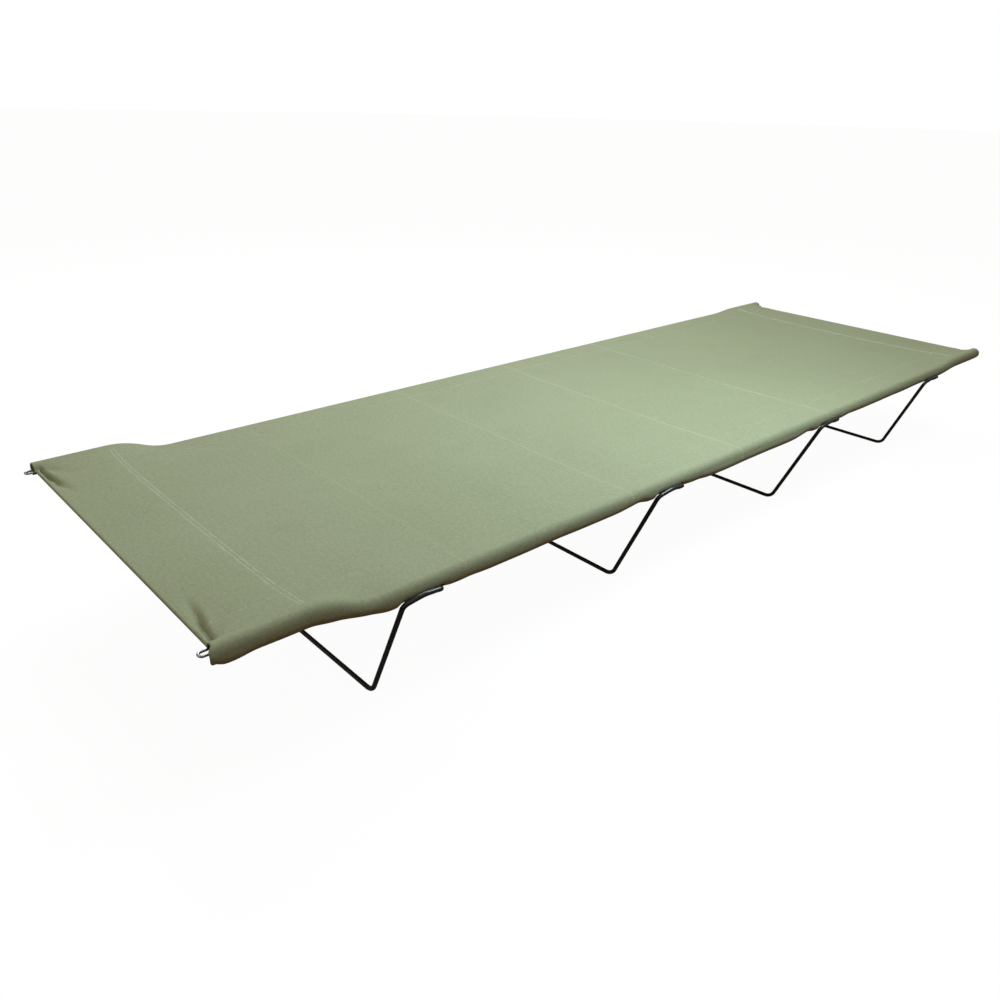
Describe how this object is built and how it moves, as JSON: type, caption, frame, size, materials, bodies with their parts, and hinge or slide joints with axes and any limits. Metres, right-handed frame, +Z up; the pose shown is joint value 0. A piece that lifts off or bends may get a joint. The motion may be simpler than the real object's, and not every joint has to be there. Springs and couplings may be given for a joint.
{
  "type": "folding cot",
  "caption": "Low knock-down camp cot: an olive canvas sheet stretched between two side poles by hooked end wires and sprung wire legs.",
  "frame": {"origin": "on the floor under the middle of the cot", "axes": "+X along the cot from the raised head end to the foot end, +Y across towards the far side, +Z up"},
  "size_m": [1.926, 0.6346, 0.218],
  "materials": {
    "canvas": "olive green coated polyester canvas, fine plain weave, soft sheen",
    "pole_tube": "zinc plated steel tube",
    "end_plug": "moulded black plastic",
    "end_wire": "bright drawn zinc plated wire",
    "leg_rod": "black enamelled spring steel rod"
  },
  "bodies": {
    "bed": {"canvas_panel": "canvas", "canvas_foot": "canvas", "near_sleeve_head": "canvas", "near_sleeve_middle": "canvas", "near_sleeve_foot": "canvas", "far_sleeve_head": "canvas", "far_sleeve_middle": "canvas", "far_sleeve_foot": "canvas", "head_hem": "canvas", "foot_hem": "canvas", "near_pole_head": "pole_tube", "near_pole_middle": "pole_tube", "near_pole_foot": "pole_tube", "far_pole_head": "pole_tube", "far_pole_middle": "pole_tube", "far_pole_foot": "pole_tube", "near_head_plug": "end_plug", "near_foot_plug": "end_plug", "far_head_plug": "end_plug", "far_foot_plug": "end_plug", "head_end_rod": "end_wire", "foot_end_rod": "end_wire"},
    "leg_1_body": {"leg_1": "leg_rod"},
    "leg_2_body": {"leg_2": "leg_rod"},
    "leg_3_body": {"leg_3": "leg_rod"},
    "leg_4_body": {"leg_4": "leg_rod"}
  },
  "joints": [
    {"name": "leg_1_unhook", "type": "slide", "parent": "bed", "child": "leg_1_body", "axis": [0, 0, -1], "range_m": [0, 0.06]},
    {"name": "leg_2_unhook", "type": "slide", "parent": "bed", "child": "leg_2_body", "axis": [0, 0, -1], "range_m": [0, 0.06]},
    {"name": "leg_3_unhook", "type": "slide", "parent": "bed", "child": "leg_3_body", "axis": [0, 0, -1], "range_m": [0, 0.06]},
    {"name": "leg_4_unhook", "type": "slide", "parent": "bed", "child": "leg_4_body", "axis": [0, 0, -1], "range_m": [0, 0.06]}
  ]
}
